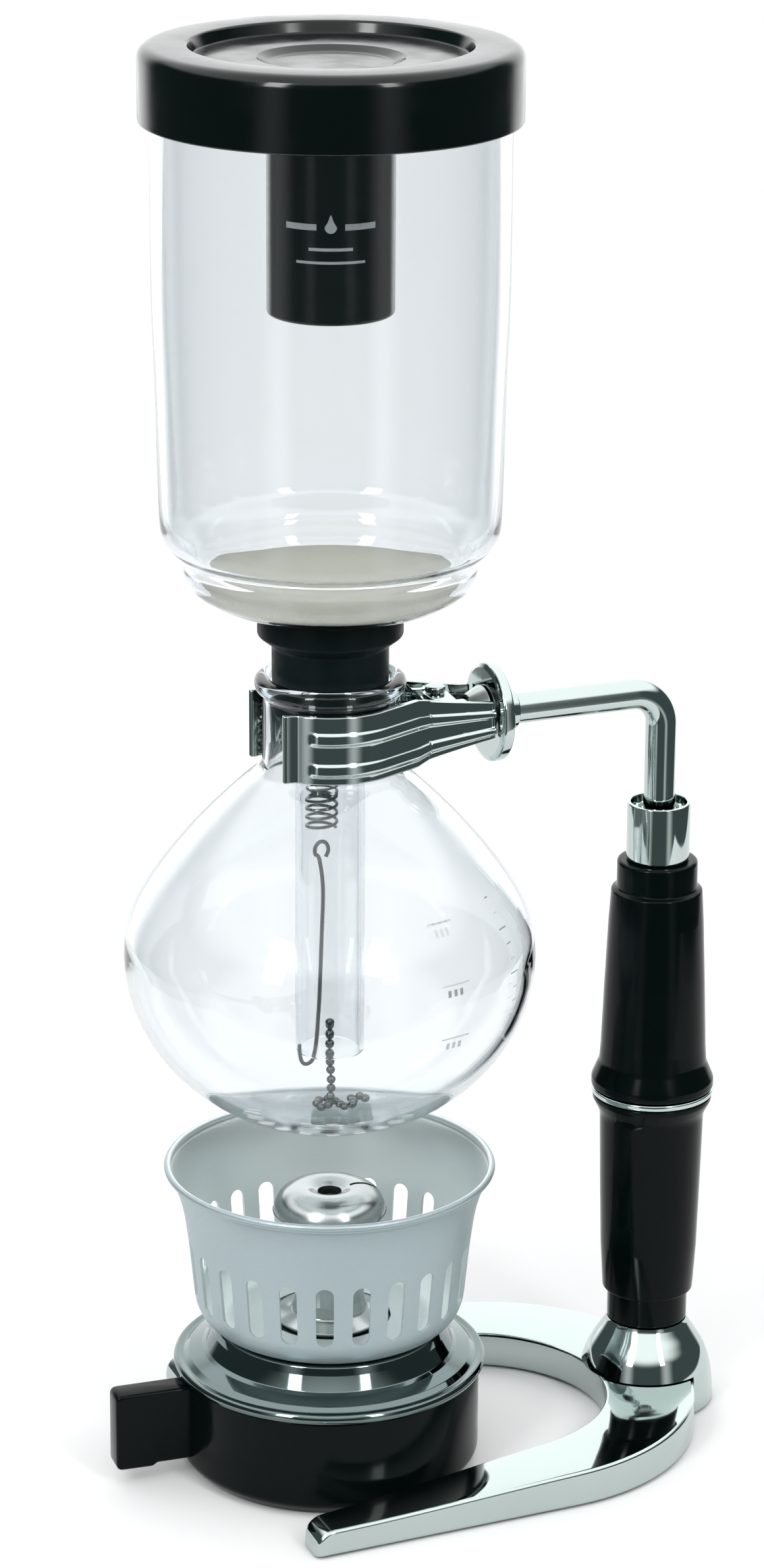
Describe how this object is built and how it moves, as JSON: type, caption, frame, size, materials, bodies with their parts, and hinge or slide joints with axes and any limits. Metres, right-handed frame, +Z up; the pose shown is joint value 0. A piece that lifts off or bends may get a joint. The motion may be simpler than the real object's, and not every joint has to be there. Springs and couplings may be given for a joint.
{
  "type": "siphon coffee maker",
  "caption": "Vacuum siphon coffee maker: clear glass bowls in a chromed stand with a turned black handle, over a spirit lamp with a slotted wind screen.",
  "frame": {"origin": "middle of the bounding box's footprint, on the table", "axes": "+Z up; +X from the bowls' axis towards the handle; the base's legs open towards -X"},
  "size_m": [0.1572, 0.105, 0.346],
  "materials": {
    "chrome": "bright polished plating",
    "steel": "plain bright steel",
    "satin_aluminium": "satin, bluish grey",
    "black_plastic": "gloss black with a faint green cast",
    "black_rubber": "soft sheen",
    "clear_glass": "clear, with grey-green edges",
    "filter_cloth": "undyed woven cotton flannel",
    "cotton": "braided cotton",
    "brass": "plain"
  },
  "bodies": {
    "stand": {"base": "chrome", "foot_pad_1": "black_rubber", "foot_pad_2": "black_rubber", "foot_pad_3": "black_rubber", "foot_pad_4": "black_rubber", "handle_foot": "chrome", "tie_bolt": "steel", "lower_grip": "black_plastic", "grip_ring": "chrome", "upper_grip": "black_plastic", "handle_ferrule": "chrome", "support_arm": "chrome", "clamp_pivot_pin": "steel", "lower_bowl": "clear_glass"},
    "clamp_wedge": {"clamp_wedge": "steel"},
    "clamp_nut": {"clamp_nut": "chrome"},
    "jaw_front": {"clamp_jaw_front": "chrome"},
    "jaw_rear": {"clamp_jaw_rear": "chrome"},
    "upper_bowl": {"upper_bowl": "clear_glass", "rubber_gasket": "black_rubber", "filter_plate": "steel", "filter_cloth": "filter_cloth", "cloth_drawstring": "cotton", "filter_spring": "steel"},
    "filter_hook": {"filter_hook": "steel", "pull_chain": "steel"},
    "lid": {"lid": "black_plastic"},
    "lamp": {"lamp_casing": "black_plastic", "lamp_tank": "brass", "lamp_shoulder": "chrome"},
    "wick_holder": {"wick_holder": "chrome"},
    "wick": {"wick": "cotton"},
    "wind_screen": {"wind_screen": "satin_aluminium"}
  },
  "joints": [
    {"name": "lid_lift", "type": "slide", "parent": "upper_bowl", "child": "lid", "axis": [0, 0, 1], "range_m": [0, 0.07]},
    {"name": "upper_bowl_lift", "type": "slide", "parent": "stand", "child": "upper_bowl", "axis": [0, 0, 1], "range_m": [0, 0.12]},
    {"name": "filter_hook_pull", "type": "slide", "parent": "upper_bowl", "child": "filter_hook", "axis": [0, 0, -1], "range_m": [0, 0.004], "stiffness_N_per_m": 50, "springref_m": -0.01, "deforming": ["filter_spring", "pull_chain"]},
    {"name": "clamp_nut_travel", "type": "slide", "parent": "stand", "child": "clamp_wedge", "axis": [1, 0, 0], "range_m": [0, 0.0025]},
    {"name": "clamp_nut_spin", "type": "hinge", "parent": "clamp_wedge", "child": "clamp_nut", "pos_m": [0.0167, 0, 0.1857], "axis": [1, 0, 0], "range_deg": [0, 450]},
    {"name": "jaw_front_open", "type": "hinge", "parent": "stand", "child": "jaw_front", "pos_m": [0.0025, 0, 0.186], "axis": [0, 0, 1], "range_deg": [0, 6.3]},
    {"name": "jaw_rear_open", "type": "hinge", "parent": "stand", "child": "jaw_rear", "pos_m": [0.0025, 0, 0.186], "axis": [0, 0, 1], "range_deg": [-6.3, 0]},
    {"name": "lamp_slide", "type": "slide", "parent": "stand", "child": "lamp", "axis": [-1, 0, 0], "range_m": [0, 0.12]},
    {"name": "wind_screen_lift", "type": "slide", "parent": "lamp", "child": "wind_screen", "axis": [0, 0, 1], "range_m": [0, 0.02]},
    {"name": "wick_holder_lift", "type": "slide", "parent": "lamp", "child": "wick_holder", "axis": [0, 0, 1], "range_m": [0, 0.01]},
    {"name": "wick_raise", "type": "slide", "parent": "wick_holder", "child": "wick", "axis": [0, 0, 1], "range_m": [0, 0.003]}
  ],
  "couplings": [
    {"joint": "clamp_nut_travel", "follows": "clamp_nut_spin", "m_per_rad": 0.000318},
    {"joint": "jaw_front_open", "follows": "clamp_nut_spin", "ratio": 0.0138},
    {"joint": "jaw_rear_open", "follows": "clamp_nut_spin", "ratio": -0.0138}
  ]
}
